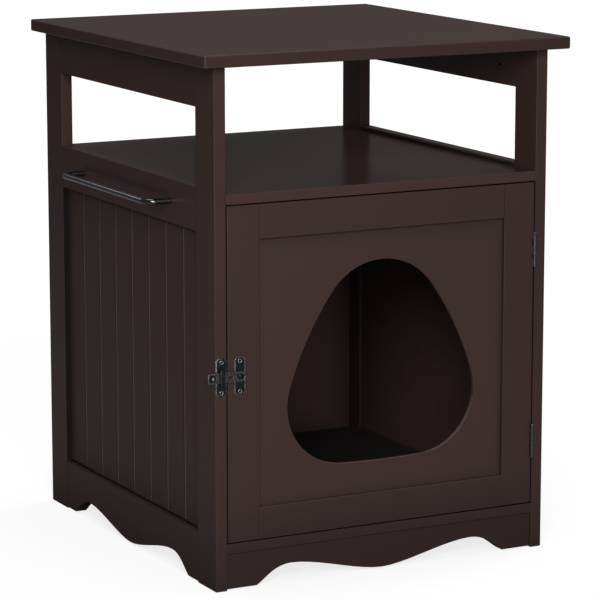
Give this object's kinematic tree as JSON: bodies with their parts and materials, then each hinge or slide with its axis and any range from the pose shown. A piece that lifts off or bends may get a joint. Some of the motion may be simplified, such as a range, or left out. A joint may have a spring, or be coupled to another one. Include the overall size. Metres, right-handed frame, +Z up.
{
  "type": "cat litter box cabinet",
  "caption": "Enclosed wooden litter box cabinet with a hinged door, a rounded cat opening, an open shelf bay under an overhanging top, beaded sides and a towel bar.",
  "frame": {"origin": "bottom centre of the overall box of the whole object, towel bar and top overhangs included, on the floor plane", "axes": "+X towards the cabinet's right side, where the door's hinges are, +Y towards its back, +Z up"},
  "size_m": [0.5066, 0.515, 0.64],
  "materials": {
    "painted_wood": "satin dark brown paint on board",
    "black_iron": "satin black",
    "zinc": "dull zinc plate"
  },
  "bodies": {
    "cabinet": {"back_panel": "painted_wood", "floor_board": "painted_wood", "floor_board_left_cam_1": "zinc", "floor_board_left_cam_2": "zinc", "floor_board_right_cam_1": "zinc", "floor_board_right_cam_2": "zinc", "front_apron": "painted_wood", "latch_keeper": "black_iron", "latch_keeper_screw_1": "black_iron", "latch_keeper_screw_2": "black_iron", "left_apron": "painted_wood", "left_front_post": "painted_wood", "left_middle_rail": "painted_wood", "left_rail_cam_1": "zinc", "left_rail_cam_2": "zinc", "left_rear_post": "painted_wood", "left_side_panel": "painted_wood", "left_top_rail": "painted_wood", "lower_hinge_cabinet_leaf": "black_iron", "lower_hinge_cabinet_screw_1": "black_iron", "lower_hinge_cabinet_screw_2": "black_iron", "right_apron": "painted_wood", "right_front_post": "painted_wood", "right_middle_rail": "painted_wood", "right_rail_cam_1": "zinc", "right_rail_cam_2": "zinc", "right_rear_post": "painted_wood", "right_side_panel": "painted_wood", "right_top_rail": "painted_wood", "shelf": "painted_wood", "shelf_left_cam_1": "zinc", "shelf_left_cam_2": "zinc", "shelf_right_cam_1": "zinc", "shelf_right_cam_2": "zinc", "top_board": "painted_wood", "towel_bar": "black_iron", "towel_bar_screw_1": "zinc", "towel_bar_screw_2": "zinc", "upper_hinge_cabinet_leaf": "black_iron", "upper_hinge_cabinet_screw_1": "black_iron", "upper_hinge_cabinet_screw_2": "black_iron"},
    "door": {"door_bottom_rail": "painted_wood", "door_left_stile": "painted_wood", "door_panel": "painted_wood", "door_right_stile": "painted_wood", "door_top_rail": "painted_wood", "latch_door_plate": "black_iron", "latch_door_screw_1": "black_iron", "latch_door_screw_2": "black_iron", "latch_pivot": "black_iron", "lower_hinge_door_leaf": "black_iron", "lower_hinge_door_screw_1": "black_iron", "lower_hinge_door_screw_2": "black_iron", "lower_hinge_pin": "black_iron", "upper_hinge_door_leaf": "black_iron", "upper_hinge_door_screw_1": "black_iron", "upper_hinge_door_screw_2": "black_iron", "upper_hinge_pin": "black_iron"},
    "latch_bar": {"latch_bar": "black_iron"}
  },
  "joints": [
    {"name": "door_hinge", "type": "hinge", "parent": "cabinet", "child": "door", "pos_m": [0.2163, -0.24095, 0.26], "axis": [0, 0, 1], "range_deg": [0, 180]},
    {"name": "latch_pivot", "type": "hinge", "parent": "door", "child": "latch_bar", "pos_m": [-0.18755, -0.2418, 0.26], "axis": [0, 1, 0], "range_deg": [0, 180]}
  ]
}
